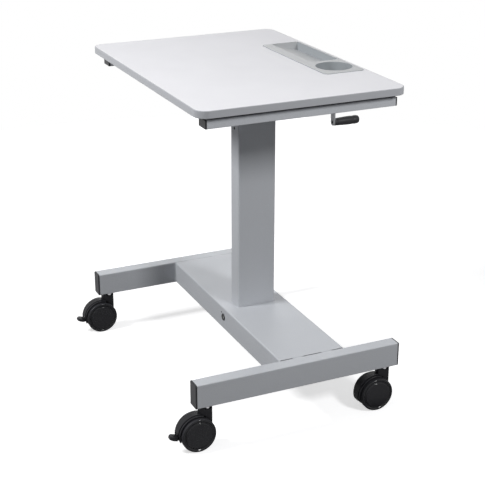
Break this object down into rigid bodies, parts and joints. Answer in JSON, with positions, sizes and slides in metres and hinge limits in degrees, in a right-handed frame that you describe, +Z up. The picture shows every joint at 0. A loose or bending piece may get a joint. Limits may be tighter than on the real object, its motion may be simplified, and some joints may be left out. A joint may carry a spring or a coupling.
{
  "type": "height adjustable desk",
  "caption": "Hand-cranked height adjustable desk on twin-wheel casters: white top with a pen and cup tray, one telescopic column and an H-shaped steel base.",
  "frame": {"origin": "on the floor, under the middle of the table top", "axes": "+X to the user's right, +Y away from the user towards the crank, +Z up"},
  "size_m": [0.746, 0.67, 0.7995],
  "materials": {
    "silver_powder_coat": "fine textured silver-grey powder coat",
    "white_laminate": "smooth white melamine laminate, satin",
    "grey_edge_band": "silver-grey PVC edge band, satin",
    "chipboard": "raw chipboard",
    "grey_tray": "moulded light grey ABS, satin",
    "black_plastic": "moulded black plastic, satin",
    "caster_black": "moulded black nylon, satin",
    "chrome_stem": "bright nickel plate",
    "zinc_steel": "zinc plated steel",
    "machined_steel": "turned steel, oiled",
    "brass_nut": "turned brass",
    "cast_alloy": "cast aluminium, as cast",
    "glide_nylon": "black nylon, natural"
  },
  "bodies": {
    "root": {"foot_left": "silver_powder_coat", "foot_right": "silver_powder_coat", "foot_end_caps": "black_plastic", "base_beam": "silver_powder_coat", "beam_stiffener": "zinc_steel", "base_bolts": "zinc_steel", "access_plugs": "black_plastic", "beam_grommet": "black_plastic", "outer_column": "silver_powder_coat", "column_foot_plate": "zinc_steel", "upper_glide": "glide_nylon", "glide_screw": "zinc_steel", "nut_tube": "zinc_steel", "lift_nut": "brass_nut", "caster_sockets": "zinc_steel", "caster_stems": "chrome_stem"},
    "lift": {"inner_column": "silver_powder_coat", "lower_glide": "glide_nylon", "head_bracket": "silver_powder_coat", "cross_tubes": "silver_powder_coat", "rail_left": "silver_powder_coat", "rail_right": "silver_powder_coat", "rail_end_caps": "black_plastic", "rail_spacers": "black_plastic", "table_screws": "zinc_steel", "table_core": "chipboard", "table_laminate": "white_laminate", "table_backer": "white_laminate", "edge_band": "grey_edge_band", "pen_tray": "grey_tray", "gearbox_housing": "cast_alloy", "gearbox_cover": "cast_alloy", "screw_bearing": "machined_steel", "crank_tube": "silver_powder_coat", "crank_bushes": "glide_nylon"},
    "screw": {"lead_screw": "machined_steel", "screw_gear": "machined_steel"},
    "crank": {"crank_shaft": "machined_steel", "crank_gear": "machined_steel", "crank_arm": "zinc_steel", "grip_spindle": "chrome_stem"},
    "grip": {"crank_grip": "black_plastic"},
    "swivel_front_left": {"hood_front_left": "caster_black", "axle_front_left": "zinc_steel"},
    "roller_front_left_a": {"wheel_front_left_a": "caster_black"},
    "roller_front_left_b": {"wheel_front_left_b": "caster_black"},
    "lever_front_left": {"brake_front_left": "caster_black"},
    "swivel_back_left": {"hood_back_left": "caster_black", "axle_back_left": "zinc_steel"},
    "roller_back_left_a": {"wheel_back_left_a": "caster_black"},
    "roller_back_left_b": {"wheel_back_left_b": "caster_black"},
    "swivel_front_right": {"hood_front_right": "caster_black", "axle_front_right": "zinc_steel"},
    "roller_front_right_a": {"wheel_front_right_a": "caster_black"},
    "roller_front_right_b": {"wheel_front_right_b": "caster_black"},
    "lever_front_right": {"brake_front_right": "caster_black"},
    "swivel_back_right": {"hood_back_right": "caster_black", "axle_back_right": "zinc_steel"},
    "roller_back_right_a": {"wheel_back_right_a": "caster_black"},
    "roller_back_right_b": {"wheel_back_right_b": "caster_black"}
  },
  "joints": [
    {"name": "lift_slide", "type": "slide", "parent": "root", "child": "lift", "axis": [0, 0, 1], "range_m": [0, 0.345]},
    {"name": "screw_spin", "type": "hinge", "parent": "lift", "child": "screw", "pos_m": [-0.005, 0.04, 0.6], "axis": [0, 0, 1], "range_deg": [0, 24841]},
    {"name": "crank_spin", "type": "hinge", "parent": "lift", "child": "crank", "pos_m": [-0.005, 0.24, 0.738], "axis": [0, 1, 0], "range_deg": [0, 24840]},
    {"name": "grip_spin", "type": "hinge", "parent": "crank", "child": "grip", "pos_m": [-0.005, 0.3, 0.623], "axis": [0, 1, 0], "continuous": true},
    {"name": "swivel_front_left_turn", "type": "hinge", "parent": "root", "child": "swivel_front_left", "pos_m": [-0.3485, -0.24, 0.09], "axis": [0, 0, 1], "continuous": true},
    {"name": "roller_front_left_a_spin", "type": "hinge", "parent": "swivel_front_left", "child": "roller_front_left_a", "pos_m": [-0.3485, -0.268, 0.042], "axis": [1, 0, 0], "continuous": true},
    {"name": "roller_front_left_b_spin", "type": "hinge", "parent": "swivel_front_left", "child": "roller_front_left_b", "pos_m": [-0.3485, -0.268, 0.042], "axis": [1, 0, 0], "continuous": true},
    {"name": "lever_front_left_press", "type": "hinge", "parent": "swivel_front_left", "child": "lever_front_left", "pos_m": [-0.3485, -0.30739, 0.03505], "axis": [1, 0, 0], "range_deg": [0, 15]},
    {"name": "swivel_back_left_turn", "type": "hinge", "parent": "root", "child": "swivel_back_left", "pos_m": [-0.3485, 0.228, 0.09], "axis": [0, 0, 1], "continuous": true},
    {"name": "roller_back_left_a_spin", "type": "hinge", "parent": "swivel_back_left", "child": "roller_back_left_a", "pos_m": [-0.3485, 0.2, 0.042], "axis": [1, 0, 0], "continuous": true},
    {"name": "roller_back_left_b_spin", "type": "hinge", "parent": "swivel_back_left", "child": "roller_back_left_b", "pos_m": [-0.3485, 0.2, 0.042], "axis": [1, 0, 0], "continuous": true},
    {"name": "swivel_front_right_turn", "type": "hinge", "parent": "root", "child": "swivel_front_right", "pos_m": [0.3485, -0.24, 0.09], "axis": [0, 0, 1], "continuous": true},
    {"name": "roller_front_right_a_spin", "type": "hinge", "parent": "swivel_front_right", "child": "roller_front_right_a", "pos_m": [0.3485, -0.268, 0.042], "axis": [1, 0, 0], "continuous": true},
    {"name": "roller_front_right_b_spin", "type": "hinge", "parent": "swivel_front_right", "child": "roller_front_right_b", "pos_m": [0.3485, -0.268, 0.042], "axis": [1, 0, 0], "continuous": true},
    {"name": "lever_front_right_press", "type": "hinge", "parent": "swivel_front_right", "child": "lever_front_right", "pos_m": [0.3485, -0.30739, 0.03505], "axis": [1, 0, 0], "range_deg": [0, 15]},
    {"name": "swivel_back_right_turn", "type": "hinge", "parent": "root", "child": "swivel_back_right", "pos_m": [0.3485, 0.228, 0.09], "axis": [0, 0, 1], "continuous": true},
    {"name": "roller_back_right_a_spin", "type": "hinge", "parent": "swivel_back_right", "child": "roller_back_right_a", "pos_m": [0.3485, 0.2, 0.042], "axis": [1, 0, 0], "continuous": true},
    {"name": "roller_back_right_b_spin", "type": "hinge", "parent": "swivel_back_right", "child": "roller_back_right_b", "pos_m": [0.3485, 0.2, 0.042], "axis": [1, 0, 0], "continuous": true}
  ],
  "couplings": [
    {"joint": "screw_spin", "follows": "crank_spin", "ratio": 1},
    {"joint": "lift_slide", "follows": "crank_spin", "m_per_rad": 0.00079577}
  ]
}
